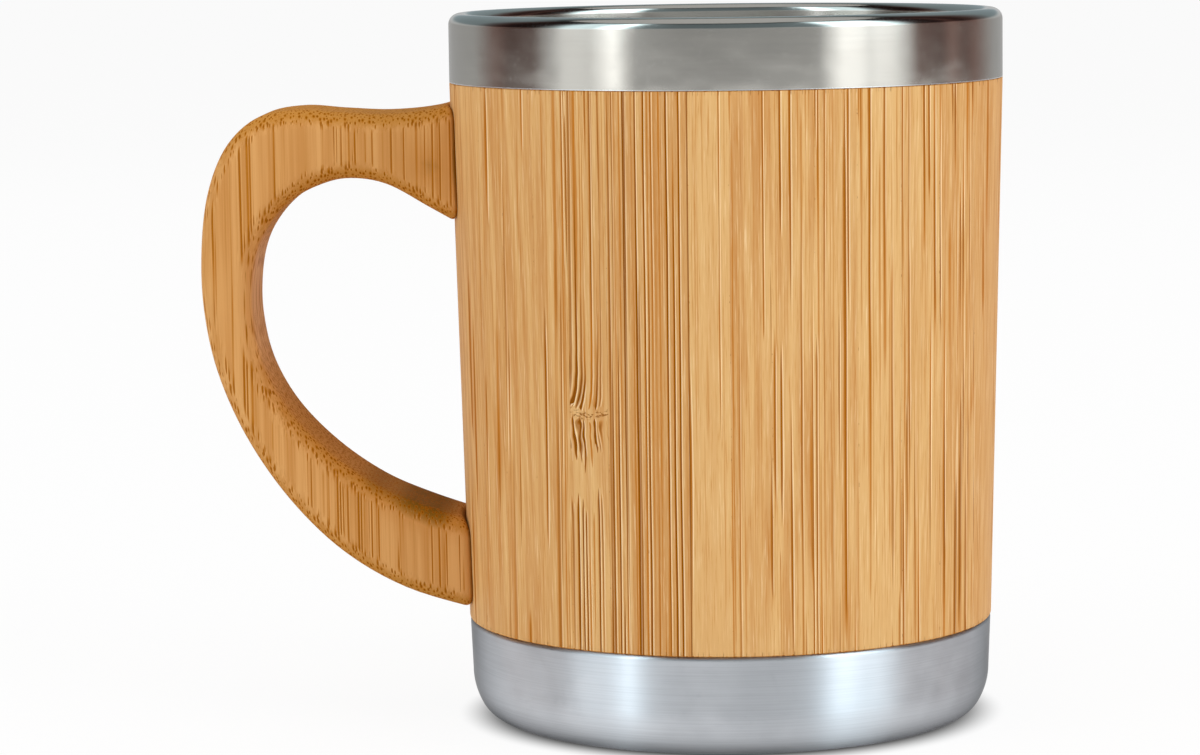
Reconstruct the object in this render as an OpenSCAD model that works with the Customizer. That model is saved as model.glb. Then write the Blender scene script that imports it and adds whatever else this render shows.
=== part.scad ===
// Bamboo cup: a drawn steel liner in a turned sleeve of glued bamboo strips, with a sawn bamboo
// handle and a drawn steel base cap. Lengths are in millimetres. The origin is the centre of the
// base, +Z is up and the handle points to -X.

/* [Cup] */
// Outside diameter of the steel band and of the sleeve's upper edge
cup_d = 85; // [80:0.5:92]
// Height from the base to the rim
cup_h = 109; // [100:0.5:122]
// How much the sleeve's diameter shrinks from its upper to its lower edge
sleeve_taper = 3.8; // [2:0.2:5]

/* [Inner cup] */
// Thickness of the drawn steel, in the inner cup and in the base cap
steel_t = 0.6; // [0.5:0.05:0.8]
// Height of the polished band that the rim turns down into
band_h = 10.5; // [9.5:0.5:14]
// Radius of the turned rim on its outer side
rim_outer_r = 1.7; // [1.5:0.1:2]
// Radius of the turned rim on its inner side
rim_inner_r = 1.3; // [1.1:0.1:1.5]
// Straight height of the mouth under the rim
mouth_h = 4.5; // [3.5:0.5:5.5]
// Height of the step where the inner cup narrows below its mouth
step_h = 3.6; // [2.5:0.1:3.6]
// Inside radius between the wall and the floor
floor_corner_r = 9; // [6:0.5:12]
// Air space between the inner cup's floor and the base cap's floor
floor_gap = 6; // [4:0.5:9]

/* [Sleeve] */
// Wall thickness of the bamboo sleeve
sleeve_t = 3.35; // [3:0.05:4]
// Thickness of the glue between bamboo and steel
glue_gap = 0.15; // [0.1:0.05:0.2]
// Height of the tongue that is glued up inside the steel band
tongue_h = 4.5; // [3:0.5:6]
// Bevel along the sleeve's visible edges
sleeve_bevel = 0.25; // [0.1:0.05:0.4]
// How far an end strip's glued face lies inside the narrowest part of the bore
end_strip_lap = 0.4; // [0.2:0.1:0.8]

/* [Base cap] */
// Height of the brushed band, from the base to the sleeve's lower edge
base_h = 15.5; // [13:0.5:20]
// Height of the neck that is glued up inside the sleeve
cap_neck_h = 5; // [3:0.5:8]
// How far the cap's top edge lies inside the sleeve's surface
cap_inset = 0.1; // [0:0.05:0.4]
// Rounding along the cap's top edge
cap_edge_r = 0.7; // [0.65:0.05:1]
// How much the cap's radius shrinks from its top edge to its lower corner
cap_taper = 0.3; // [0:0.1:0.8]
// Radius of the upper, wider part of the lower corner
corner_upper_r = 10; // [8:0.5:15]
// Radius of the lower, tighter part of the lower corner
corner_lower_r = 4.5; // [2.5:0.5:5]
// Radius of the pressed ring in the base, to its middle
bead_r = 25; // [18:0.5:28]
// Width of the pressed ring
bead_w = 3.2; // [2.5:0.1:5]
// Depth of the pressed ring
bead_depth = 0.8; // [0.4:0.1:1.2]

/* [Handle] */
// How far the handle stands out from the sleeve's upper edge
handle_reach = 38.2; // [32:0.5:46]
// Distance of the handle's top below the sleeve's upper edge
handle_drop = 3.5; // [3:0.5:10]
// Height of the handle's lower foot above the sleeve's lower edge
handle_rise = 1.5; // [1:0.1:2.5]
// Thickness of the board that the handle is sawn from
handle_t = 20; // [15:0.5:22]
// Radius that the handle's edges are rounded over to
handle_edge_r = 3; // [1.5:0.1:3.4]

/* [Screws] */
// Diameter of the two wood screws that hold the handle
screw_d = 3; // [2.5:0.1:3.5]
// Length of a screw, from its head's face to its point
screw_length = 13; // [10:0.5:15]
// Diameter of a screw's countersunk head
screw_head_d = 5.6; // [5:0.1:6.4]
// Height of a screw's countersunk head
screw_head_h = 1.6; // [1.2:0.1:1.8]
// Length of a screw's point
screw_point_h = 3; // [2:0.5:4]
// Clearance around a screw in the sleeve, and the depth its head is sunk by
screw_clearance = 0.1; // [0.05:0.05:0.2]
// Width of one slot of the cross in a screw's head
cross_w = 0.7; // [0.5:0.1:1]
// Length of one slot of the cross in a screw's head
cross_l = 3; // [2.4:0.1:3.6]
// Depth of the cross in a screw's head
cross_depth = 1; // [0.6:0.1:1.1]

/* [Hidden] */
$fn = 144;
overrun = 1;
arc_steps = 8;
step_steps = 8;
corner_split = 30;

// Glue lines of the sleeve across X, from one end strip's glued face to the other
seam_shares = [-1, -0.9, -0.77, -0.63, -0.475, -0.32, -0.15, 0.01, 0.175, 0.345, 0.515, 0.69, 0.85, 1];
layer_count = len(seam_shares) - 1;

// Guide points of the handle's outer and inner edges, as [share of reach, share of height],
// from the upper foot to the lower foot. Those before zero reach lie inside the cup.
handle_outer_shares = [
    [-0.118, 1.021], [0.051, 0.996], [0.245, 0.987], [0.43, 0.991], [0.604, 0.997], [0.765, 0.981],
    [0.891, 0.925], [0.968, 0.835], [0.999, 0.722], [0.994, 0.603], [0.944, 0.48], [0.832, 0.35],
    [0.661, 0.225], [0.448, 0.121], [0.193, 0.047], [-0.118, 0]
];
handle_inner_shares = [
    [-0.118, 0.748], [0.072, 0.801], [0.249, 0.849], [0.406, 0.861], [0.535, 0.845], [0.634, 0.817],
    [0.711, 0.778], [0.766, 0.729], [0.794, 0.664], [0.795, 0.581], [0.753, 0.488], [0.652, 0.399],
    [0.493, 0.318], [0.304, 0.253], [0.11, 0.211], [-0.118, 0.173]
];
handle_substeps = 3;
handle_corner_steps = 4;
edge_limit_share = 0.42;
// Heights of the two screws
screw_height_shares = [0.885, 0.103];

// Heights of the cup's main levels
band_z = cup_h - band_h;
mouth_z = cup_h - rim_inner_r - mouth_h;
step_z = mouth_z - step_h;
floor_z = floor_gap + 2 * steel_t;
handle_z = base_h + handle_rise;
handle_h = band_z - handle_drop - handle_z;

// Radii of the mouth and of the sleeve's edges
sleeve_top_r = cup_d / 2;
sleeve_low_r = sleeve_top_r - sleeve_taper / 2;
crest_r = sleeve_top_r - rim_outer_r;
mouth_r = crest_r - rim_inner_r;

// The sleeve's outer surface, its bore and the inner cup's wall all follow one taper
function sleeve_r(z) = sleeve_low_r + (sleeve_top_r - sleeve_low_r) * (z - base_h) / (band_z - base_h);
function bore_r(z) = sleeve_r(z) - sleeve_t;
function wall_out_r(z) = bore_r(z) - glue_gap;
function wall_in_r(z) = wall_out_r(z) - steel_t;

// The base cap's neck, which fits between the inner cup and a rebate in the sleeve
neck_top_z = base_h + cap_neck_h;
rebate_z = neck_top_z + glue_gap;
neck_in_r = wall_out_r(neck_top_z) + glue_gap;
neck_out_r = neck_in_r + steel_t;
rebate_r = neck_out_r + glue_gap;

// The glued face of each end strip
end_face_x = bore_r(rebate_z) - end_strip_lap;

// The base cap's corner: two arcs that meet at corner_split degrees below the horizontal
cap_top_r = sleeve_low_r - cap_inset;
cap_side_r = cap_top_r - cap_taper;
flat_r = cap_side_r - corner_upper_r + (corner_upper_r - corner_lower_r) * cos(corner_split);
corner_top_z = corner_lower_r + (corner_upper_r - corner_lower_r) * sin(corner_split);

function arc(x, z, r, from, to) =
    [for (i = [0:arc_steps]) let (a = from + (to - from) * i / arc_steps) [x + r * cos(a), z + r * sin(a)]];

// The inner cup's narrowing step, as a smooth half wave from the mouth to the tapered wall
function step_points(shift) =
    [for (i = [0:step_steps])
        let (t = i / step_steps, ease = (1 - cos(180 * t)) / 2)
        [mouth_r + (wall_in_r(step_z) - mouth_r) * ease + shift, mouth_z - step_h * t]];

// The base cap's lower corner and pressed ring, drawn a distance inside its outer skin
function cap_corner(inside) = concat(
    arc(cap_side_r - corner_upper_r, corner_top_z, corner_upper_r - inside, 0, -corner_split),
    arc(flat_r, corner_lower_r, corner_lower_r - inside, -corner_split, -90),
    [
        [bead_r + bead_w / 2, inside],
        [bead_r + bead_w / 2 - bead_depth, bead_depth + inside],
        [bead_r - bead_w / 2 + bead_depth, bead_depth + inside],
        [bead_r - bead_w / 2, inside],
        [0, inside]
    ]
);

function reversed(points) = [for (i = [len(points) - 1:-1:0]) points[i]];

// A smooth curve through the points of a list
function curve_point(p, i, t) =
    let (a = p[max(i - 1, 0)], b = p[i], c = p[i + 1], d = p[min(i + 2, len(p) - 1)])
    (2 * b + (c - a) * t + (2 * a - 5 * b + 4 * c - d) * t * t + (3 * b - a - 3 * c + d) * t * t * t) / 2;
function curve(p) = concat(
    [for (i = [0:len(p) - 2], k = [0:handle_substeps - 1]) curve_point(p, i, k / handle_substeps)],
    [p[len(p) - 1]]
);

// Shares of the handle turned into places in the XZ plane
function handle_points(shares) =
    [for (s = shares) [-sleeve_top_r - handle_reach * s[0], handle_z + handle_h * s[1]]];
handle_outer = curve(handle_points(handle_outer_shares));
handle_inner = curve(handle_points(handle_inner_shares));

// One cross-section of the handle: a rounded rectangle between its inner and outer edges
function handle_ring(inner, outer) =
    let (
        w = norm(outer - inner),
        across = (outer - inner) / w,
        r = min(handle_edge_r, w * edge_limit_share),
        centres = [[w - r, handle_t / 2 - r], [r, handle_t / 2 - r], [r, r - handle_t / 2], [w - r, r - handle_t / 2]]
    )
    [for (corner = [0:3], k = [0:handle_corner_steps])
        let (
            a = 90 * (corner + k / handle_corner_steps),
            u = centres[corner][0] + r * cos(a),
            y = centres[corner][1] + r * sin(a),
            p = inner + across * u
        )
        [p[0], y, p[1]]];

ring_size = 4 * (handle_corner_steps + 1);
ring_count = len(handle_outer);

function strip_name(side, layer) = str("sleeve_strip_", side, "_", layer + 1);

// Drawn steel liner, with its rim turned over into the polished band
module inner_cup() {
    corner_z = floor_z + floor_corner_r;
    corner_x = wall_in_r(corner_z) - floor_corner_r;
    color([0.78, 0.79, 0.8])
    rotate_extrude()
    polygon(concat(
        [[sleeve_top_r, band_z]],
        arc(crest_r, cup_h - rim_outer_r, rim_outer_r, 0, 90),
        arc(crest_r, cup_h - rim_inner_r, rim_inner_r, 90, 180),
        step_points(0),
        arc(corner_x, corner_z, floor_corner_r, 0, -90),
        [[0, floor_z], [0, floor_z - steel_t]],
        arc(corner_x, corner_z, floor_corner_r + steel_t, -90, 0),
        reversed(step_points(steel_t)),
        arc(crest_r, cup_h - rim_inner_r, rim_inner_r - steel_t, 180, 90),
        arc(crest_r, cup_h - rim_outer_r, rim_outer_r - steel_t, 90, 0),
        [[sleeve_top_r - steel_t, band_z]]
    ));
}

// Drawn steel cap under the sleeve, with its neck and its pressed ring
module base_cap() {
    color([0.66, 0.67, 0.69])
    rotate_extrude()
    polygon(concat(
        [[neck_in_r, neck_top_z], [neck_out_r, neck_top_z], [neck_out_r, base_h]],
        arc(cap_top_r - cap_edge_r, base_h - cap_edge_r, cap_edge_r, 90, 0),
        cap_corner(0),
        reversed(cap_corner(steel_t)),
        arc(cap_top_r - cap_edge_r, base_h - cap_edge_r, cap_edge_r - steel_t, 0, 90),
        [[neck_in_r, base_h - steel_t]]
    ));
}

// The turned sleeve before it is parted into its glued strips
module sleeve_blank() {
    tongue_out_r = sleeve_top_r - steel_t - glue_gap;
    tongue_in_r = mouth_r + steel_t + glue_gap;
    tongue_z = band_z + tongue_h;
    rotate_extrude()
    polygon([
        [rebate_r, base_h],
        [sleeve_low_r - sleeve_bevel, base_h],
        [sleeve_r(base_h + sleeve_bevel), base_h + sleeve_bevel],
        [sleeve_r(band_z - sleeve_bevel), band_z - sleeve_bevel],
        [sleeve_top_r - sleeve_bevel, band_z],
        [tongue_out_r, band_z],
        [tongue_out_r, tongue_z],
        [tongue_in_r, tongue_z],
        [tongue_in_r, band_z],
        [bore_r(band_z), band_z],
        [bore_r(rebate_z), rebate_z],
        [rebate_r, rebate_z]
    ]);
}

// One middle strip: side is -1 at the front and 1 at the back
module sleeve_strip(layer, side) {
    x0 = end_face_x * seam_shares[layer];
    x1 = end_face_x * seam_shares[layer + 1];
    shade = 0.03 * ((layer * 5 + side) % 4);
    color([0.82 + shade, 0.63 + shade, 0.39 + shade])
    intersection() {
        sleeve_blank();
        translate([x0, side < 0 ? -cup_d : 0, 0])
            cube([x1 - x0, cup_d, cup_h]);
    }
}

// One end strip: side is -1 at the handle and 1 opposite it
module sleeve_end_strip(side) {
    color([0.84, 0.65, 0.41])
    difference() {
        intersection() {
            sleeve_blank();
            translate([side < 0 ? -end_face_x - cup_d : end_face_x, -cup_d / 2, 0])
                cube([cup_d, cup_d, cup_h]);
        }
        if (side < 0)
            for (z = screw_heights())
                place_screw(z) screw_hole();
    }
}

function screw_heights() = [for (share = screw_height_shares) handle_z + handle_h * share];

// Puts a screw's head face just under the sleeve's bore, with its shank towards the handle
module place_screw(z) {
    translate([-bore_r(z) - screw_clearance, 0, z])
        rotate([0, -90, 0])
            children();
}

// A screw's shank and head, wider by a clearance where it is cut from the sleeve
module screw_body(wider, length) {
    cylinder(h = length, d = screw_d + 2 * wider);
    cylinder(h = screw_head_h, d1 = screw_head_d + 2 * wider, d2 = screw_d + 2 * wider);
}

module screw_hole() {
    screw_body(screw_clearance, screw_length);
    translate([0, 0, -overrun])
        cylinder(h = overrun, d = screw_head_d + 2 * screw_clearance);
}

// The two countersunk wood screws
module handle_screws() {
    shank_l = screw_length - screw_point_h;
    color([0.7, 0.7, 0.68])
    for (z = screw_heights())
        place_screw(z)
            difference() {
                union() {
                    screw_body(0, shank_l);
                    translate([0, 0, shank_l])
                        cylinder(h = screw_point_h, d1 = screw_d, d2 = 0);
                }
                for (turn = [0, 90])
                    rotate(turn)
                        translate([-cross_l / 2, -cross_w / 2, -overrun])
                            cube([cross_l, cross_w, cross_depth + overrun]);
            }
}

// Handle sawn from one board, rounded over and fitted to the sleeve
module handle() {
    points = [for (k = [0:ring_count - 1]) each handle_ring(handle_inner[k], handle_outer[k])];
    sides = [for (k = [0:ring_count - 2], j = [0:ring_size - 1])
        let (
            a = k * ring_size + j,
            b = k * ring_size + (j + 1) % ring_size,
            c = b + ring_size,
            d = a + ring_size
        )
        each [[a, b, c], [a, c, d]]];
    first_end = [for (j = [ring_size - 1:-1:0]) j];
    last_end = [for (j = [0:ring_size - 1]) (ring_count - 1) * ring_size + j];
    color([0.8, 0.56, 0.31])
    difference() {
        polyhedron(points, concat([first_end], sides, [last_end]));
        translate([0, 0, base_h])
            cylinder(h = band_z - base_h, r1 = sleeve_low_r, r2 = sleeve_top_r);
        for (z = screw_heights())
            place_screw(z) screw_body(0, screw_length);
    }
}

inner_cup();
base_cap();
sleeve_end_strip(-1);  // sleeve_strip_left_end
sleeve_end_strip(1);  // sleeve_strip_right_end
for (layer = [0:layer_count - 1]) {
    sleeve_strip(layer, -1);
    sleeve_strip(layer, 1);
}
handle();
handle_screws();
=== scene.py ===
"""Looks of a bamboo cup with a drawn steel liner, a brushed steel base cap and a sawn side handle.

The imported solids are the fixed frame. Every piece here is made in metres in the same frame.
"""

import logging
import math
from dataclasses import dataclass, field
from enum import Enum

import bmesh
import bpy
from mathutils import Matrix, Vector


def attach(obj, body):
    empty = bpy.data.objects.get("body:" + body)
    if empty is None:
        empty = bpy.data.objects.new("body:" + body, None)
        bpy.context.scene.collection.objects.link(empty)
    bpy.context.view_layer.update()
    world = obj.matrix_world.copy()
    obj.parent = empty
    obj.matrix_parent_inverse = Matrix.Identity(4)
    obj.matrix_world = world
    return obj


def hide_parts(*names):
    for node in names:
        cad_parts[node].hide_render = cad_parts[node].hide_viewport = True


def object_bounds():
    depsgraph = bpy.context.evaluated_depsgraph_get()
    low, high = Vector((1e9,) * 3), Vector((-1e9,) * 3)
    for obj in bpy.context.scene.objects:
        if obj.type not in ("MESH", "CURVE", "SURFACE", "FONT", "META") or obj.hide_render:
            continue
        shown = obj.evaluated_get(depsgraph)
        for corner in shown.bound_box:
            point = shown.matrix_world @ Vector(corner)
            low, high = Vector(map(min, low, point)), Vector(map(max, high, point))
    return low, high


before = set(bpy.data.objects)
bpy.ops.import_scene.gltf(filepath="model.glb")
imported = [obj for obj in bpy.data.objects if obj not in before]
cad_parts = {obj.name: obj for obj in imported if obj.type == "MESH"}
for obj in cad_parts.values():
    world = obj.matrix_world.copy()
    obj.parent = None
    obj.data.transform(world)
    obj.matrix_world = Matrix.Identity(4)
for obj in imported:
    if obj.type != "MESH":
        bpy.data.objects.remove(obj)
CAD_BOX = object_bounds()

LOG = logging.getLogger("bamboo_cup")
MM = 0.001
ROOT_BODY = "root"
MIDDLE_MM = 57.0
TAPER_PER_MM = 0.000551
QUARTER_TURN = 0.25
NO_KNUCKLE_MM = -1000.0
WIDEST_TONE = 0.7
SEED_STEP = 5.31
MM_PER_M = 1000.0
WELD = 1e-7
TINY = 1e-9
DARK_LINE = 0.82
Point = tuple[float, float]
Colour = tuple[float, float, float]


class Side(Enum):
    """Which half of the sleeve a middle strip belongs to."""

    FRONT = -1.0
    BACK = 1.0


class End(Enum):
    """Which side of the cup an end strip lies on."""

    LEFT = -1.0
    RIGHT = 1.0


def srgb(red: int, green: int, blue: int) -> Colour:
    """Turns screen values into a linear colour.

    Args:
        red: the red value, from 0 to 255.
        green: the green value.
        blue: the blue value.

    Returns:
        The linear colour.
    """
    toe, slope, lift, power = 0.04045, 12.92, 0.055, 2.4
    return tuple(
        c / slope if c <= toe else ((c + lift) / (1 + lift)) ** power
        for c in (red / 255, green / 255, blue / 255)
    )


def arc(centre: Point, radius: float, start: float, end: float, steps: int = 16) -> list[Point]:
    """Points along an arc in the radius-height plane.

    Args:
        centre: radius and height of the arc's centre.
        radius: the arc's radius.
        start: angle of the first point, in degrees from the horizontal.
        end: angle of the last point.
        steps: number of chords.

    Returns:
        The points from start to end.
    """
    angles = [math.radians(start + (end - start) * i / steps) for i in range(steps + 1)]
    return [(centre[0] + radius * math.cos(a), centre[1] + radius * math.sin(a)) for a in angles]


def catmull(points: list[Point], place_on: float) -> Vector:
    """A point on the smooth curve through a list of points.

    Args:
        points: the guide points.
        place_on: index of a guide point plus the share of the way to the next.

    Returns:
        The curve's point there.
    """
    i = min(max(int(place_on), 0), len(points) - 2)
    t = place_on - i
    a, b, c, d = (Vector(points[min(max(i + k, 0), len(points) - 1)]) for k in (-1, 0, 1, 2))
    return 0.5 * (
        2 * b + (c - a) * t + (2 * a - 5 * b + 4 * c - d) * t**2 + (3 * b - a - 3 * c + d) * t**3
    )


def finish_mesh(name: str, shape: bmesh.types.BMesh, sharp_degrees: float = 35.0) -> bpy.types.Object:
    """Turns a bmesh into a smooth-shaded object in the scene.

    Args:
        name: the new object's name.
        shape: the mesh, which is freed.
        sharp_degrees: edges that turn more than this stay sharp.

    Returns:
        The new object.
    """
    bmesh.ops.remove_doubles(shape, verts=shape.verts, dist=WELD)
    bmesh.ops.recalc_face_normals(shape, faces=shape.faces)
    mesh = bpy.data.meshes.new(name)
    shape.to_mesh(mesh)
    shape.free()
    mesh.shade_smooth()
    mesh.set_sharp_from_angle(angle=math.radians(sharp_degrees))
    made = bpy.data.objects.new(name, mesh)
    bpy.context.scene.collection.objects.link(made)
    return made


def lathe(name: str, profile: list[Point], segments: int = 384) -> bpy.types.Object:
    """Turns a closed profile about the cup's axis.

    Args:
        name: the new object's name.
        profile: radius and height of each corner, in order.
        segments: chords around the axis.

    Returns:
        The turned object.
    """
    shape = bmesh.new()
    turns = [2 * math.pi * i / segments for i in range(segments)]
    rings = [
        [shape.verts.new((r * math.cos(a), r * math.sin(a), z)) for a in turns]
        if r > TINY
        else [shape.verts.new((0, 0, z))]
        for r, z in profile
    ]
    for one, two in zip(rings, rings[1:] + rings[:1]):
        if len(one) == 1 and len(two) == 1:
            continue
        for i in range(segments):
            j = (i + 1) % segments
            corners = [one[i % len(one)], one[j % len(one)], two[j % len(two)], two[i % len(two)]]
            shape.faces.new(list(dict.fromkeys(corners)))
    return finish_mesh(name, shape)


def skin(shape: bmesh.types.BMesh, rows: list[list[bmesh.types.BMVert]]) -> None:
    """Joins each closed row of corners to the next one with a ring of faces.

    Args:
        shape: the mesh that the corners are in.
        rows: closed rows with as many corners each.
    """
    for one, two in zip(rows, rows[1:]):
        for i in range(len(one)):
            j = (i + 1) % len(one)
            shape.faces.new((one[i], one[j], two[j], two[i]))


def set_values(piece: bpy.types.Object, name: str, values: list[float]) -> None:
    """Stores one number per vertex under a name that materials can read.

    Args:
        piece: the mesh object.
        name: the attribute's name.
        values: one number for each vertex.
    """
    attribute = piece.data.attributes.new(name, "FLOAT", "POINT")
    attribute.data.foreach_set("value", values)


def set_grain(piece: bpy.types.Object, **grain: float | list[float]) -> None:
    """Stores a bamboo piece's own grain in its mesh.

    Args:
        piece: the mesh object.
        **grain: one number for the whole piece, or one for each vertex, by the attribute's name.
    """
    count = len(piece.data.vertices)
    for name, value in grain.items():
        set_values(piece, name, value if isinstance(value, list) else [value] * count)


def place(piece: bpy.types.Object, slot: str, nodes: list[str]) -> bpy.types.Object:
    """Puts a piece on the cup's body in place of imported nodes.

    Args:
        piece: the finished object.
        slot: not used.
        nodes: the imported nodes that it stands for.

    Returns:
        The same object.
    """
    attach(piece, ROOT_BODY)
    if nodes:
        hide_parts(*nodes)
    LOG.info("%s: %d faces, stands for %s", piece.name, len(piece.data.polygons), nodes)
    return piece


# Shader wiring


class Wiring:
    """Adds and joins nodes in one node tree."""

    def __init__(self, tree: bpy.types.NodeTree) -> None:
        """Keeps the tree that nodes are added to."""
        self.tree = tree

    def add(self, kind: str, settings: dict | None = None, **sockets: object) -> bpy.types.Node:
        """Adds a node.

        Args:
            kind: the node's type, without its ShaderNode prefix.
            settings: properties of the node.
            **sockets: values or output sockets for its inputs, by name with _ for a space, or by
                i and a number.

        Returns:
            The new node.
        """
        node = self.tree.nodes.new("ShaderNode" + kind)
        for key, value in (settings or {}).items():
            setattr(node, key, value)
        for key, value in sockets.items():
            index = int(key[1:]) if key[0] == "i" and key[1:].isdigit() else key.replace("_", " ")
            self.feed(node.inputs[index], value)
        return node

    def feed(self, socket: bpy.types.NodeSocket, value: object) -> None:
        """Links an output to an input, or sets the input's own value.

        Args:
            socket: the input.
            value: an output socket, a number, a vector or a colour.
        """
        if isinstance(value, bpy.types.NodeSocket):
            self.tree.links.new(value, socket)
        elif isinstance(value, tuple) and len(value) == 3 and socket.type == "RGBA":
            socket.default_value = (*value, 1.0)
        else:
            socket.default_value = value

    def math(self, operation: str, *values: object, clamp: bool = False) -> bpy.types.NodeSocket:
        """Adds a Math node.

        Args:
            operation: the node's operation.
            *values: up to three numbers or output sockets.
            clamp: keeps the result from 0 to 1.

        Returns:
            The node's result.
        """
        sockets = {f"i{k}": value for k, value in enumerate(values)}
        settings = {"operation": operation, "use_clamp": clamp}
        return self.add("Math", settings, **sockets).outputs[0]

    def vector_math(self, operation: str, one: object, two: object) -> bpy.types.NodeSocket:
        """Returns the result of a Vector Math node on two vectors."""
        return self.add("VectorMath", {"operation": operation}, i0=one, i1=two).outputs[0]

    def smooth(self, value: object, low: object, high: object, top: float = 1.0) -> bpy.types.NodeSocket:
        """Adds a smooth rise from 0 to top.

        Args:
            value: the number or output socket that it follows.
            low: the value where it starts.
            high: the value where it reaches the top, which may be less than low.
            top: its highest value.

        Returns:
            The node's result.
        """
        settings = {"interpolation_type": "SMOOTHSTEP"}
        node = self.add("MapRange", settings, Value=value, i1=low, i2=high, i3=0.0, i4=top)
        return node.outputs[0]

    def spread(self, value: object, low: float, high: float) -> bpy.types.NodeSocket:
        """Returns value, from 0 to 1, spread between low and high."""
        return self.add("MapRange", None, Value=value, i1=0.0, i2=1.0, i3=low, i4=high).outputs[0]

    def mix(self, share: object, one: object, two: object, blend: str = "MIX") -> bpy.types.NodeSocket:
        """Mixes two colours.

        Args:
            share: how much of the second colour there is.
            one: the first colour.
            two: the second colour.
            blend: how they are put together.

        Returns:
            The mixed colour.
        """
        settings = {"data_type": "RGBA", "blend_type": blend}
        node = self.add("Mix", settings, i0=share, i6=one, i7=two)
        return node.outputs[2]

    def split(self, vector: object) -> list[bpy.types.NodeSocket]:
        """Returns the three values of a vector."""
        return list(self.add("SeparateXYZ", None, Vector=vector).outputs)

    def vector(self, x: object, y: object, z: object) -> bpy.types.NodeSocket:
        """Returns a vector made of three values."""
        return self.add("CombineXYZ", None, X=x, Y=y, Z=z).outputs[0]

    def scale(self, vector: object, share: object) -> bpy.types.NodeSocket:
        """Returns a vector times a value."""
        return self.add("VectorMath", {"operation": "SCALE"}, i0=vector, Scale=share).outputs[0]

    def stretch(self, vector: object, x: float, y: float, z: float) -> bpy.types.NodeSocket:
        """Returns a vector with each direction times its own share."""
        return self.vector_math("MULTIPLY", vector, (x, y, z))

    def noise(self, vector: object, detail: float = 2.0, roughness: float = 0.5) -> bpy.types.Node:
        """Returns a Noise node at scale 1 on a vector that is already scaled."""
        return self.add("TexNoise", None, Vector=vector, Scale=1.0, Detail=detail, Roughness=roughness)


class GroupMaker(Wiring):
    """A shader node group with named inputs and outputs, built once."""

    KINDS = {"value": "NodeSocketFloat", "vector": "NodeSocketVector", "colour": "NodeSocketColor"}

    def __init__(
        self, name: str, inputs: dict[str, tuple[str, object]], outputs: dict[str, str]
    ) -> None:
        """Makes the group.

        Args:
            name: the group's name.
            inputs: kind and default value of each input.
            outputs: kind of each output.
        """
        super().__init__(bpy.data.node_groups.new(name, "ShaderNodeTree"))
        for key, (kind, default) in inputs.items():
            socket = self.tree.interface.new_socket(
                name=key, in_out="INPUT", socket_type=self.KINDS[kind]
            )
            socket.default_value = default
        for key, kind in outputs.items():
            self.tree.interface.new_socket(name=key, in_out="OUTPUT", socket_type=self.KINDS[kind])
        self.inputs = self.tree.nodes.new("NodeGroupInput").outputs
        self.result = self.tree.nodes.new("NodeGroupOutput").inputs

    def give(self, **values: bpy.types.NodeSocket) -> None:
        """Joins each named output to the socket that it gives out."""
        for key, value in values.items():
            self.tree.links.new(value, self.result[key.replace("_", " ")])


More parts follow.
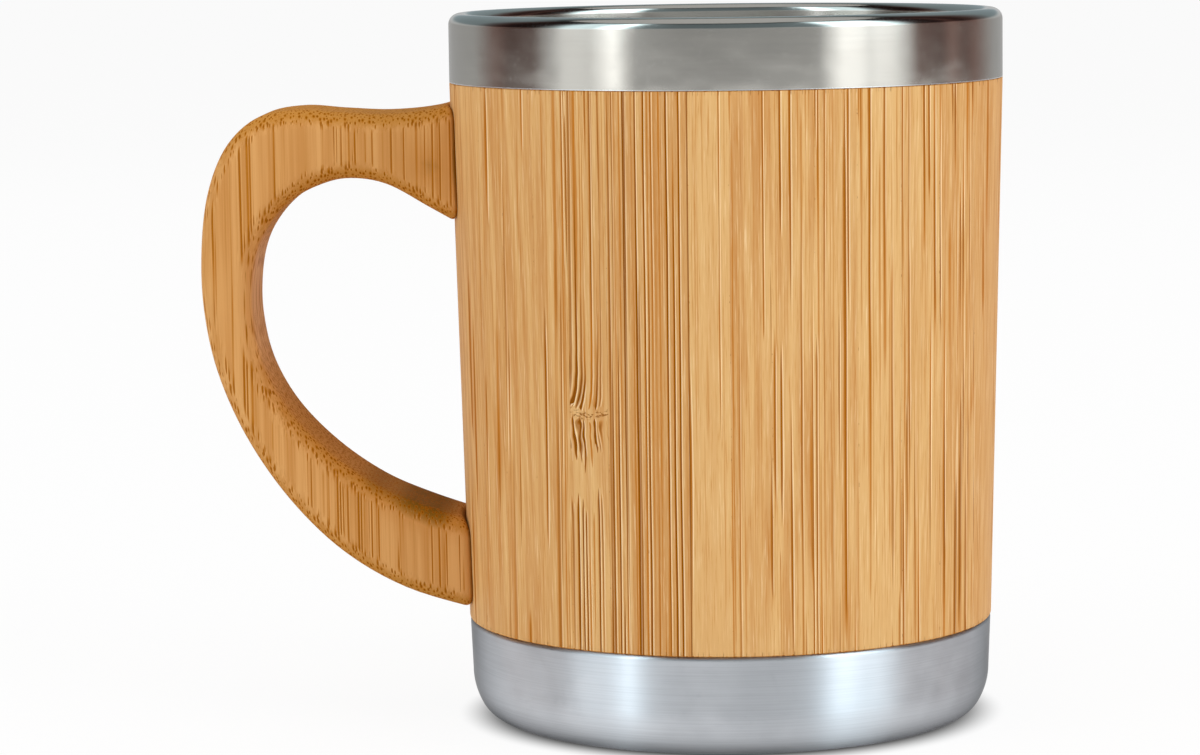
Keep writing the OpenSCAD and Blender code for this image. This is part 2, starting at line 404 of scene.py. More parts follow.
def build_bundle_group() -> bpy.types.NodeTree:
    """Bamboo's fibre bundles, as rods that run up the strip, thin out and end in points.

    Returns:
        A group that puts out how far a point lies inside a bundle, and its soft sheath around it.
    """
    g = GroupMaker(
        "fibre_bundles",
        {
            "Place mm": ("vector", (0.0, 0.0, 0.0)),
            "Spacing mm": ("value", 0.8),
            "Radius mm": ("value", 0.16),
            "Seed": ("value", 0.0),
            "Wander mm": ("value", 0.5),
            "Depth stretch": ("value", 1.0),
            "Run mm": ("value", 25.0),
            "Broken": ("value", 0.5),
        },
        {"Core": "value", "Sheath": "value"},
    )
    drift_side, drift_up, scatter = 0.22, 0.03, 0.85
    life_side, life_depth = 61.0, 47.0
    most_alive, least_alive, fade = 0.15, 0.62, 0.16
    thinnest, thickest, least_mm, core_edge = 0.5, 1.35, 0.002, 0.7
    barely_alive, well_alive = 0.02, 0.3
    narrow_sheath, wide_sheath, sheath_edge = 1.2, 2.6, 0.8
    x, y, z = g.split(g.inputs["Place mm"])
    slow = g.vector(
        g.math("MULTIPLY_ADD", x, drift_side, g.inputs["Seed"]),
        g.math("MULTIPLY", y, drift_side),
        g.math("MULTIPLY", z, drift_up),
    )
    drift = g.vector_math("SUBTRACT", g.noise(slow, detail=1.0).outputs["Color"], (0.5, 0.5, 0.5))
    scaled = g.scale(drift, g.inputs["Wander mm"])
    moved_x, moved_y, _ = g.split(g.vector_math("ADD", g.inputs["Place mm"], scaled))
    depth_size = g.math("MULTIPLY", g.inputs["Spacing mm"], g.inputs["Depth stretch"])
    cell = g.vector(
        g.math("ADD", g.math("DIVIDE", moved_x, g.inputs["Spacing mm"]), g.inputs["Seed"]),
        g.math("DIVIDE", moved_y, depth_size),
        0.0,
    )
    flat = {"voronoi_dimensions": "2D"}
    voronoi = g.add("TexVoronoi", flat, Vector=cell, Scale=1.0, Randomness=scatter)
    numbers = g.add("SeparateColor", None, Color=voronoi.outputs["Color"])
    distance = g.math("MULTIPLY", voronoi.outputs["Distance"], g.inputs["Spacing mm"])
    life_place = g.vector(
        g.math("MULTIPLY", numbers.outputs[1], life_side),
        g.math("MULTIPLY", numbers.outputs[2], life_depth),
        g.math("DIVIDE", z, g.inputs["Run mm"]),
    )
    life = g.noise(life_place, detail=0.0).outputs[0]
    threshold = g.spread(g.inputs["Broken"], most_alive, least_alive)
    alive = g.smooth(life, threshold, g.math("ADD", threshold, fade))
    full = g.math("MULTIPLY", g.inputs["Radius mm"], g.spread(numbers.outputs[0], thinnest, thickest))
    radius = g.math("MAXIMUM", g.math("MULTIPLY", full, alive), least_mm)
    core = g.smooth(distance, radius, g.math("MULTIPLY", radius, core_edge))
    core = g.math("MULTIPLY", core, g.smooth(alive, barely_alive, well_alive))
    soft = g.math("MULTIPLY", radius, g.spread(numbers.outputs[2], narrow_sheath, wide_sheath))
    sheath = g.smooth(distance, soft, g.math("MULTIPLY", radius, sheath_edge))
    sheath = g.math("MULTIPLY", sheath, alive)
    g.give(Core=core, Sheath=sheath)
    return g.tree


def build_knuckle_group() -> bpy.types.NodeTree:
    """A growth joint of the bamboo, where the fibres bend aside and break off.

    Returns:
        A group that puts out how far the fibres are bent aside, the small cross cracks on the
        joint, and how bold the fibres are around it, where 1 is as elsewhere.
    """
    g = GroupMaker(
        "growth_joint",
        {
            "Place mm": ("vector", (0.0, 0.0, 0.0)),
            "Height mm": ("value", NO_KNUCKLE_MM),
            "Across": ("value", 0.5),
            "Bend mm": ("value", 1.5),
        },
        {"Bent mm": "value", "Cracks": "value", "Boldness": "value"},
    )
    wave_mm, sway_mm, rag_mm, sway_above = 1.3, 0.8, 5.0, 0.4
    wave_grain, sway_grain = (0.45, 1.0, 0.0), (0.5, 1.0, 0.3)
    rag_grain, crack_grain = (1.3, 1.0, 0.0), (1.5, 1.2, 3.2)
    fade_below, fade_above, sway_fade = -0.2, -0.45, -0.18
    share_below, least_share = 0.5, 0.1
    joint_edge, joint_core, crack_from, crack_full = 0.8, 0.2, 0.5, 0.58
    bare_edge, bare_core, bare_share = 1.3, 0.5, 0.8
    pale_bottom, pale_low, pale_high, pale_top, pale_loss = -15.0, -10.0, -8.0, -5.0, 1.6
    bold_edge, bold_core, bold_share, bold_from, bold_full = 11.0, 2.0, 0.45, 0.05, 0.4
    here, across = g.inputs["Place mm"], g.inputs["Across"]

    def rough(grain: tuple[float, float, float], detail: float = 1.0) -> bpy.types.NodeSocket:
        """Returns a noise with its own grain in each direction."""
        return g.noise(g.stretch(here, *grain), detail=detail).outputs[0]

    wave = rough(wave_grain)
    height = g.math("ADD", g.inputs["Height mm"], g.spread(wave, -wave_mm, wave_mm))
    above = g.math("SUBTRACT", g.split(here)[2], height)
    far = g.math("ABSOLUTE", above)
    is_above = g.math("GREATER_THAN", above, 0.0)
    fade = g.math("EXPONENT", g.math("MULTIPLY", far, g.spread(is_above, fade_below, fade_above)))
    push = g.math("MULTIPLY", fade, g.inputs["Bend mm"])
    sway = rough(sway_grain)
    ripple = g.math("MULTIPLY", g.spread(sway, -sway_mm, sway_mm), g.spread(is_above, 1.0, sway_above))
    rippled = g.math("MULTIPLY", ripple, g.math("EXPONENT", g.math("MULTIPLY", far, sway_fade)))
    reach = g.math("ADD", across, least_share)
    share = g.spread(is_above, share_below, reach)
    bent = g.math("ADD", g.math("MULTIPLY", push, share), rippled)
    fine = rough(crack_grain, detail=2.0)
    on_joint = g.smooth(far, joint_edge, joint_core)
    cracks = g.math("MULTIPLY", on_joint, g.smooth(fine, crack_from, crack_full))
    rag = rough(rag_grain)
    ragged = g.math("ADD", above, g.spread(rag, -rag_mm, rag_mm))
    from_bottom = g.smooth(ragged, pale_bottom, pale_low)
    below = g.math("MULTIPLY", from_bottom, g.smooth(ragged, pale_top, pale_high))
    pale = g.math("MAXIMUM", g.smooth(far, bare_edge, bare_core, top=bare_share), below)
    near = g.smooth(far, bold_edge, bold_core, top=bold_share)
    bold = g.math("MULTIPLY", near, g.smooth(across, bold_from, bold_full))
    g.give(
        Bent_mm=bent,
        Cracks=cracks,
        Boldness=g.math("SUBTRACT", g.math("ADD", 1.0, bold), g.math("MULTIPLY", pale, pale_loss)),
    )
    return g.tree


def build_handling_group() -> bpy.types.NodeTree:
    """Slow patches and fine dust of a thing that is handled, for roughness.

    Returns:
        A group that puts out slow patches and fine specks, each from 0 to 1.
    """
    g = GroupMaker(
        "handling_marks",
        {
            "Place mm": ("vector", (0.0, 0.0, 0.0)),
            "Patch mm": ("value", 18.0),
            "Speck mm": ("value", 0.6),
        },
        {"Patches": "value", "Specks": "value"},
    )

    patch_from, patch_full, patch_grain = 0.3, 0.7, 0.55
    speck_from, speck_full = 0.6, 0.75

    def scaled(size: str) -> bpy.types.NodeSocket:
        """Returns the place over a size, for a noise of that size."""
        return g.scale(g.inputs["Place mm"], g.math("DIVIDE", 1.0, g.inputs[size]))

    patches = g.noise(scaled("Patch mm"), detail=3.0, roughness=patch_grain).outputs[0]
    specks = g.noise(scaled("Speck mm"), detail=1.0).outputs[0]
    g.give(
        Patches=g.smooth(patches, patch_from, patch_full),
        Specks=g.smooth(specks, speck_from, speck_full),
    )
    return g.tree


@dataclass(frozen=True)
class Groups:
    """The shader node groups that materials share."""

    bundles: bpy.types.NodeTree
    knuckle: bpy.types.NodeTree
    handling: bpy.types.NodeTree


class MaterialMaker(Wiring):
    """A material with one Principled shader, wired from nodes."""

    def __init__(self, name: str) -> None:
        """Makes an empty material with its shader and output.

        Args:
            name: the material's name.
        """
        self.material = bpy.data.materials.new(name)
        self.material.use_nodes = True
        super().__init__(self.material.node_tree)
        self.tree.nodes.clear()
        self.shader = self.add("BsdfPrincipled")
        self.add("OutputMaterial", None, Surface=self.shader.outputs[0])
        self.place_mm = self.scale(self.add("TexCoord").outputs["Object"], MM_PER_M)

    def group(self, tree: bpy.types.NodeTree, **sockets: object) -> bpy.types.Node:
        """Places a node group.

        Args:
            tree: the group.
            **sockets: values or output sockets for its inputs, by name with _ for a space.

        Returns:
            The placed group.
        """
        node = self.tree.nodes.new("ShaderNodeGroup")
        node.node_tree = tree
        for key, value in sockets.items():
            self.feed(node.inputs[key.replace("_", " ")], value)
        return node

    def stretched(self, x: float, y: float, z: float) -> bpy.types.NodeSocket:
        """Returns the place over a size in each direction, in millimetres."""
        return self.vector_math("DIVIDE", self.place_mm, (x, y, z))

    def dress(self, **sockets: object) -> bpy.types.Material:
        """Feeds the shader.

        Args:
            **sockets: values or output sockets for its inputs, by name with _ for a space.

        Returns:
            The material.
        """
        for key, value in sockets.items():
            self.feed(self.shader.inputs[key.replace("_", " ")], value)
        return self.material


# Finishes


@dataclass(frozen=True)
class Bamboo:
    """Sanded bamboo with a dull, oiled surface.

    Spacings, radii and runs are in millimetres. The amber lies around the bundles, the brown in
    them, and a painted highlight beside them in the pale colour that also marks fine fibres. The
    stain colour is also the painted shade where the handle meets the sleeve.
    """

    name: str
    pale: Colour
    deep: Colour
    amber: Colour
    brown: Colour
    pale_fibre_and_highlight: Colour
    end_grain: Colour
    stain_and_shade: Colour
    fine_spacing: float
    dense_spacing: float
    open_spacing: float
    bundle_radius: float
    depth_stretch: float
    lean: float
    wander: float
    run: float
    broken: float
    core_share: float
    smoothness: float
    roughness: float
    tick_zone: float
    relief: float = 0.09
    relief_depth: float = 0.06 * MM
    gloss: float = 0.05

    def make(self, groups: Groups) -> bpy.types.Material:
        """Returns the material, which reads the strip's own numbers from the mesh."""
        return BambooMaker(self, groups).finished()


class BambooMaker(MaterialMaker):
    """The wiring of one bamboo finish, from the bare ground to the glue seams."""

    def __init__(self, look: Bamboo, groups: Groups) -> None:
        """Makes an empty material with the strip's own numbers and the place along the fibres.

        Args:
            look: the finish's colours and sizes.
            groups: the shared node groups.
        """
        slow_grain, packed_spread, open_until, dense_from = (2.6, 2.6, 70.0), 0.5, 0.35, 0.9
        fine_grain, end_from, end_full = (0.2, 0.2, 22.0), 0.15, 0.7
        super().__init__(look.name)
        self.look = look
        self.groups = groups
        self.texture = 1.0 - look.smoothness
        # the tone attribute holds each piece's own tone and, on the handle, its stains and painted
        # crevice shade
        self.across, self.tone, self.seed, self.density, knuckle, self.seam = (
            self.add("Attribute", {"attribute_name": name}).outputs["Fac"]
            for name in (
                "layer_across", "layer_tone", "layer_seed", "layer_density", "knuckle_mm", "layer_seam"
            )
        )
        self.x, y, self.z = self.split(self.place_mm)
        self.rise = self.math("SUBTRACT", self.z, MIDDLE_MM)
        leaning = self.math("MULTIPLY_ADD", self.rise, -look.lean * TAPER_PER_MM, 1.0)
        self.depth = self.math("MULTIPLY", y, leaning)
        along = self.vector(self.x, self.depth, self.z)
        joint = self.group(groups.knuckle, Place_mm=along, Height_mm=knuckle, Across=self.across)
        self.cracks = joint.outputs["Cracks"]
        self.bent_x = self.math("ADD", self.x, joint.outputs["Bent mm"])
        self.boldness = self.math("MAXIMUM", joint.outputs["Boldness"], 0.0)
        facing_x, _, facing_z = self.split(self.add("TexCoord").outputs["Normal"])
        self.facing_side = self.math("ABSOLUTE", facing_x)
        self.cut_across = self.smooth(self.math("ABSOLUTE", facing_z), end_from, end_full)
        self.along_cut = self.math("SUBTRACT", 1.0, self.cut_across)
        shifted = self.vector_math("ADD", self.stretched(*slow_grain), self.vector(self.seed, 0.0, 0.0))
        slow = self.noise(shifted, detail=2.0).outputs[0]
        uneven = self.spread(slow, -packed_spread, packed_spread)
        packed = self.math("ADD", self.math("ADD", self.across, self.density), uneven)
        self.dense_share = self.smooth(packed, open_until, dense_from)
        self.fine = self.noise(self.stretched(*fine_grain), detail=3.0, roughness=0.65).outputs[0]
        self.core = self.layer_mix("Core")

    def bundles(self, spacing: float, radius: float, apart: float, shift: float) -> bpy.types.Node:
        """Places a group of bundles.

        Args:
            spacing: from bundle to bundle.
            radius: of a bundle.
            apart: a number that sets these bundles apart from the others.
            shift: how far they are moved sideways.

        Returns:
            The placed group.
        """
        less_broken, open_run, dense_run = 0.3, 1.8, 5.0
        look = self.look
        broken = self.math("SUBTRACT", look.broken, self.math("MULTIPLY", self.density, less_broken))
        longer = self.spread(self.math("MAXIMUM", self.density, 0.0), open_run, dense_run)
        return self.group(
            self.groups.bundles,
            Place_mm=self.vector(self.math("ADD", self.bent_x, shift), self.depth, self.z),
            Spacing_mm=spacing,
            Radius_mm=self.math("MULTIPLY", self.boldness, radius),
            Seed=self.math("ADD", self.seed, apart),
            Wander_mm=look.wander,
            Depth_stretch=look.depth_stretch,
            Run_mm=self.math("MULTIPLY", longer, look.run),
            Broken=self.math("MULTIPLY", broken, self.along_cut),
        )

    def layer_mix(self, output: str, shift: float = 0.0) -> bpy.types.NodeSocket:
        """Mixes the dense and the open bundles across the strip.

        Args:
            output: which of their outputs is mixed.
            shift: how far they are moved sideways.

        Returns:
            The mixed output.
        """
        dense_apart, open_apart, dense_size, least_open = 3.7, 11.3, 0.8, 0.5
        look = self.look
        small = look.bundle_radius * dense_size
        dense = self.bundles(look.dense_spacing, small, dense_apart, shift).outputs[output]
        sparse = self.bundles(look.open_spacing, look.bundle_radius, open_apart, shift).outputs[output]
        return self.math(
            "MAXIMUM",
            self.math("MULTIPLY", dense, self.dense_share),
            self.math("MULTIPLY", sparse, self.spread(self.dense_share, 1.0, least_open)),
        )

    def ground(self) -> bpy.types.NodeSocket:
        """Colours the wood between the bundles by the strip's tone, where a tone below -1 brings in the
        stain colour for stains and painted crevice shade.

        Returns:
            The bare ground's colour.
        """
        broad_grain, deep_from, deep_full = (1.3, 1.3, 45.0), 0.32, 0.68
        look = self.look
        broad = self.noise(self.stretched(*broad_grain), detail=2.0).outputs[0]
        ground = self.mix(self.smooth(broad, deep_from, deep_full), look.pale, look.deep)
        ground = self.mix(self.math("MAXIMUM", self.tone, 0.0), ground, look.pale)
        dark = self.math("MULTIPLY", self.tone, -1.0)
        ground = self.mix(self.math("MAXIMUM", dark, 0.0), ground, look.deep)
        ground = self.mix(self.cut_across, ground, look.end_grain)
        # a tone below -1 mixes in the stain colour, for the handle's stains and the shade painted where
        # it meets the sleeve
        return self.mix(self.math("SUBTRACT", dark, 1.0, clamp=True), ground, look.stain_and_shade)

    def fibres(self, ground: bpy.types.NodeSocket) -> bpy.types.NodeSocket:
        """Draws the fine fibres between the bundles.

        Args:
            ground: the bare ground's colour.

        Returns:
            The ground's colour with its fibres.
        """
        dark_from, dark_full, dark_share = 0.53, 0.75, 0.6
        light_from, light_full, light_share = 0.46, 0.25, 0.5
        thin_size, thin_apart, thin_open, thin_dense = 0.26, 27.1, 0.35, 0.7
        look = self.look
        dark = self.smooth(self.fine, dark_from, dark_full, top=dark_share * self.texture)
        light = self.smooth(self.fine, light_from, light_full, top=light_share * self.texture)
        ground = self.mix(light, self.mix(dark, ground, look.amber), look.pale_fibre_and_highlight)
        thin = self.bundles(look.fine_spacing, look.fine_spacing * thin_size, thin_apart, 0.0)
        by_density = self.spread(self.dense_share, thin_open, thin_dense)
        thin_share = self.math("MULTIPLY", thin.outputs["Core"], by_density)
        return self.mix(self.math("MULTIPLY", thin_share, self.texture), ground, look.amber)

    def lines(self, ground: bpy.types.NodeSocket) -> bpy.types.NodeSocket:
        """Draws the bundles, the amber around them, the painted highlight lines beside them and the
        cracks.

        Args:
            ground: the ground's colour with its fibres.

        Returns:
            The colour with its lines.
        """
        amber_share, crack_share, end_share, highlight_shift = 0.88, 0.8, 0.82, -0.2
        end_on, side_on, highlight_most = 0.97, 0.85, 0.6
        bolder, boldness_from = 0.9, 0.72
        look = self.look
        sheath = self.layer_mix("Sheath")
        tinted = self.mix(self.math("MULTIPLY", sheath, amber_share), ground, look.amber)
        # painted highlight: a pale line on one side of each bundle, as if its relief caught the light
        painted_highlight = self.math("SUBTRACT", self.layer_mix("Core", highlight_shift), self.core, clamp=True)
        highlight_top = self.smooth(self.facing_side, end_on, side_on, top=highlight_most * self.texture)
        highlight_share = self.math("MULTIPLY", self.along_cut, highlight_top)
        lined = self.mix(self.math("MULTIPLY", painted_highlight, highlight_share), tinted, look.pale_fibre_and_highlight)
        boldest = self.math("MULTIPLY_ADD", self.density, bolder, boldness_from, clamp=True)
        side_share = self.math("MULTIPLY", boldest, look.core_share)
        core_share = self.spread(self.cut_across, side_share, end_share)
        lined = self.mix(self.math("MULTIPLY", self.core, core_share), lined, look.brown)
        return self.mix(self.math("MULTIPLY", self.cracks, crack_share), lined, look.brown)

    def seams(self, lined: bpy.types.NodeSocket) -> bpy.types.NodeSocket:
        """Draws the glue in the seams, and the torn ticks at the sleeve's turned edges.

        Args:
            lined: the colour with its lines.

        Returns:
            The finished colour.
        """
        glue_run, glue_grain, glue_from, glue_full, glue_share = 0.5, 0.75, 0.6, 0.68, 0.65
        seam_w, seam_core, dark_from, dark_full, dark_share = 0.018, 0.006, 0.955, 0.98, 0.8
        tick_size, tick_grain, tick_from, tick_full, tick_share = 2.4, 0.8, 0.56, 0.62, 0.6
        tick_fade = 0.5
        look = self.look
        seam_side = self.math("MINIMUM", self.across, self.math("SUBTRACT", 1.0, self.across))
        up_seam = self.vector(self.seed, 0.0, self.math("MULTIPLY", self.z, glue_run))
        glue = self.noise(up_seam, detail=3.0, roughness=glue_grain).outputs[0]
        near_seam = self.smooth(seam_side, seam_w, seam_core)
        glue_spots = self.smooth(glue, glue_from, glue_full, top=glue_share)
        spots = self.math("MULTIPLY", near_seam, glue_spots)
        dark_seam = self.smooth(self.seam, dark_from, dark_full, top=dark_share)
        glued = self.mix(self.math("MAXIMUM", spots, dark_seam), lined, look.brown)
        teeth = self.vector(self.math("MULTIPLY", self.x, tick_size), 0.0, 0.0)
        comb = self.noise(teeth, detail=2.0, roughness=tick_grain).outputs[0]
        at_edge = self.smooth(
            self.math("ABSOLUTE", self.rise), look.tick_zone, look.tick_zone + tick_fade
        )
        ticks = self.math("MULTIPLY", at_edge, self.smooth(comb, tick_from, tick_full, top=tick_share))
        return self.mix(ticks, glued, look.brown)

    def finished(self) -> bpy.types.Material:
        """Puts colour, roughness and relief together.

        Returns:
            The finished material.
        """
        patch_mm, core_relief, fine_relief = 24.0, -0.6, -0.5
        patch_roughness, line_roughness, end_roughness = 0.08, 0.08, 0.25
        look = self.look
        colour = self.seams(self.lines(self.fibres(self.ground())))
        marks = self.group(self.groups.handling, Place_mm=self.place_mm, Patch_mm=patch_mm)
        fine = self.math("MULTIPLY", self.fine, fine_relief)
        relief = self.math("MULTIPLY_ADD", self.core, core_relief, fine)
        relief = self.math("SUBTRACT", relief, self.cracks)
        bump = self.add("Bump", None, Strength=look.relief, Distance=look.relief_depth, Height=relief)
        ends = self.math("MULTIPLY", self.cut_across, end_roughness)
        rough = self.math(
            "ADD",
            self.spread(marks.outputs["Patches"], look.roughness, look.roughness + patch_roughness),
            self.math("MULTIPLY_ADD", self.core, line_roughness, ends),
        )
        return self.dress(
            Base_Color=colour,
            Roughness=rough,
            Specular_IOR_Level=look.gloss,
            Normal=bump.outputs[0],
        )


@dataclass(frozen=True)
class Steel:
    """Drawn stainless steel, polished or brushed around the cup."""

    name: str
    colour: Colour
    roughness: float
    smear: float
    line_depth: float
    line_mm: float
    wave_depth: float
    line_tone: float
    edge_tint: float

    def make(self, groups: Groups) -> bpy.types.Material:
        """Builds the material.

        Args:
            groups: the shared node groups.

        Returns:
            The material, with its lines running around the cup.
        """
        line_run, long_run, long_share, long_depth = 26.0, 60.0, 3.1, 0.6
        wave_run, wave_height, patch_mm = 9.0, 5.0, 14.0
        line_grain, line_from, line_full = 0.7, 0.35, 0.7
        unevenness, speck_roughness = 0.15, 0.03
        m = MaterialMaker(self.name)
        around = m.stretched(line_run, line_run, self.line_mm)
        lines = m.noise(around, detail=3.0, roughness=line_grain).outputs[0]
        wider = self.line_mm * long_share
        long_lines = m.noise(m.stretched(long_run, long_run, wider), detail=2.0).outputs[0]
        waves = m.noise(m.stretched(wave_run, wave_run, wave_height), detail=1.0).outputs[0]
        marks = m.group(groups.handling, Place_mm=m.place_mm, Patch_mm=patch_mm)
        drawn = m.math("MULTIPLY_ADD", long_lines, long_depth, lines)
        line_bump = m.add("Bump", None, Strength=1.0, Distance=self.line_depth, Height=drawn)
        wave_bump = m.add(
            "Bump", None, Strength=1.0, Distance=self.wave_depth, Height=waves,
            Normal=line_bump.outputs[0],
        )
        darker = tuple(DARK_LINE * c for c in self.colour)
        in_line = m.smooth(lines, line_from, line_full, top=self.line_tone)
        colour = m.mix(in_line, self.colour, darker)
        smoothest, roughest = (self.roughness * (1 + k * unevenness) for k in (-1, 1))
        rough = m.math(
            "ADD",
            m.spread(marks.outputs["Patches"], smoothest, roughest),
            m.math("MULTIPLY", marks.outputs["Specks"], speck_roughness),
        )
        tangent = m.add("Tangent", {"direction_type": "RADIAL", "axis": "Z"})
        return m.dress(
            Base_Color=colour,
            Metallic=1.0,
            Roughness=rough,
            Specular_Tint=(self.edge_tint,) * 3,
            Anisotropic=self.smear,
            Anisotropic_Rotation=QUARTER_TURN,
            Tangent=tangent.outputs[0],
            Normal=wave_bump.outputs[0],
        )


SLEEVE_BAMBOO = Bamboo(
    name="sleeve_bamboo",
    pale=srgb(224, 180, 119),
    deep=srgb(205, 151, 91),
    amber=srgb(186, 110, 8),
    brown=srgb(134, 74, 2),
    pale_fibre_and_highlight=srgb(255, 228, 180),
    end_grain=srgb(196, 140, 78),
    stain_and_shade=srgb(120, 84, 14),
    fine_spacing=0.4,
    dense_spacing=0.46,
    open_spacing=0.8,
    bundle_radius=0.16,
    depth_stretch=3.0,
    lean=0.9,
    wander=0.3,
    run=22.0,
    broken=0.5,
    core_share=0.95,
    smoothness=0.0,
    roughness=0.5,
    tick_zone=40.6,
)
HANDLE_BAMBOO = Bamboo(
    name="handle_bamboo",
    pale=srgb(218, 163, 100),
    deep=srgb(201, 142, 78),
    amber=srgb(176, 106, 6),
    brown=srgb(134, 72, 0),
    pale_fibre_and_highlight=srgb(230, 180, 116),
    end_grain=srgb(194, 134, 60),
    stain_and_shade=srgb(120, 82, 8),
    fine_spacing=0.45,
    dense_spacing=0.44,
    open_spacing=0.54,
    bundle_radius=0.125,
    depth_stretch=1.1,
    lean=0.0,
    wander=0.4,
    run=19.8,
    broken=0.45,
    core_share=0.54,
    smoothness=0.4,
    roughness=0.5,
    tick_zone=200.0,
)
POLISHED = Steel(
    name="polished_steel", colour=srgb(206, 204, 197), roughness=0.14, smear=0.3,
    line_depth=0.0006 * MM, line_mm=0.35, wave_depth=0.08 * MM, line_tone=0.12,
    edge_tint=0.85,
)
SATIN = Steel(
    name="satin_steel", colour=srgb(222, 222, 220), roughness=0.26, smear=0.5,
    line_depth=0.003 * MM, line_mm=0.3, wave_depth=0.01 * MM, line_tone=0.4,
    edge_tint=1.0,
)
BRUSHED = Steel(
    name="brushed_steel", colour=srgb(219, 222, 227), roughness=0.34, smear=1.0,
    line_depth=0.003 * MM, line_mm=0.2, wave_depth=0.002 * MM, line_tone=0.45,
    edge_tint=0.35,
)
SCREW_STEEL = Steel(
    name="screw_steel", colour=srgb(190, 190, 188), roughness=0.3, smear=0.2,
    line_depth=0.003 * MM, line_mm=0.2, wave_depth=0.002 * MM, line_tone=0.3,
    edge_tint=1.0,
)


# Pieces


@dataclass(frozen=True)
class CupShape:
    """Sizes that several pieces share, in metres."""

    height: float = 109 * MM
    band_z: float = 98.5 * MM
    base_z: float = 15.5 * MM
    top_r: float = 42.5 * MM
    low_r: float = 40.6 * MM
    steel_t: float = 0.6 * MM
    glue_gap: float = 0.15 * MM
    sleeve_t: float = 3.35 * MM
    mouth_r: float = 39.5 * MM
    neck_h: float = 5 * MM

    def sleeve_r(self, z: float) -> float:
        """Returns the sleeve's outer radius at a height."""
        share = (z - self.base_z) / (self.band_z - self.base_z)
        return self.low_r + (self.top_r - self.low_r) * share

    def wall_in_r(self, z: float) -> float:
        """Returns the inner cup's inside radius at a height."""
        return self.sleeve_r(z) - self.sleeve_t - self.glue_gap - self.steel_t


@dataclass
class InnerCup:
    """The drawn liner with its rim turned over into the polished band."""

    shape: CupShape
    rim_outer_r: float = 1.7 * MM
    rim_inner_r: float = 1.3 * MM
    mouth_h: float = 4.5 * MM
    step_h: float = 3.6 * MM
    floor_z: float = 7.2 * MM
    floor_corner_r: float = 9 * MM
    lip_h: float = 0.15 * MM
    finish_lap: float = 0.1 * MM
    step_steps: int = 16
    corner_steps: int = 20

    def profile(self) -> list[Point]:
        """Draws the liner's outline.

        Returns:
            The closed outline, from the band's edge over the rim and back.
        """
        s = self.shape
        crest = s.top_r - self.rim_outer_r
        t = s.steel_t
        mouth_z = s.height - self.rim_inner_r - self.mouth_h
        corner_z = self.floor_z + self.floor_corner_r
        corner_x = s.wall_in_r(corner_z) - self.floor_corner_r

        def step(shift: float) -> list[Point]:
            """Draws the smooth step under the mouth.

            Args:
                shift: how far it is moved outwards.

            Returns:
                Its points, from the top.
            """
            count = self.step_steps
            drop = s.wall_in_r(mouth_z - self.step_h) - s.mouth_r
            eases = [(1 - math.cos(math.pi * i / count)) / 2 for i in range(count + 1)]
            return [
                (s.mouth_r + drop * e + shift, mouth_z - self.step_h * i / count)
                for i, e in enumerate(eases)
            ]

        outer_z, inner_z = s.height - self.rim_outer_r, s.height - self.rim_inner_r
        return [
            (s.top_r, s.band_z),
            (s.top_r, s.band_z + self.lip_h),
            *arc((crest, outer_z), self.rim_outer_r, 0, 90),
            *arc((crest, inner_z), self.rim_inner_r, 90, 180)[1:],
            *step(0.0),
            *arc((corner_x, corner_z), self.floor_corner_r, 0, -90, self.corner_steps),
            (0.0, self.floor_z),
            (0.0, self.floor_z - t),
            *arc((corner_x, corner_z), self.floor_corner_r + t, -90, 0, self.corner_steps),
            *reversed(step(t)),
            *arc((crest, inner_z), self.rim_inner_r - t, 180, 90),
            *arc((crest, outer_z), self.rim_outer_r - t, 90, 0)[1:],
            (s.top_r - t, s.band_z),
        ]

    def build(self, polished: bpy.types.Material, satin: bpy.types.Material) -> bpy.types.Object:
        """Builds the liner.

        Args:
            polished: the finish of the band, the rim and the mouth.
            satin: the finish of the wall and the floor inside.

        Returns:
            The liner.
        """
        made = lathe("steel_liner", self.profile())
        made.data.materials.append(polished)
        made.data.materials.append(satin)
        low_mouth = self.shape.height - self.rim_inner_r - self.mouth_h - self.step_h
        for face in made.data.polygons:
            face.material_index = 0 if face.center.z > low_mouth - self.finish_lap else 1
        return place(made, "liner_steel", ["inner_cup"])


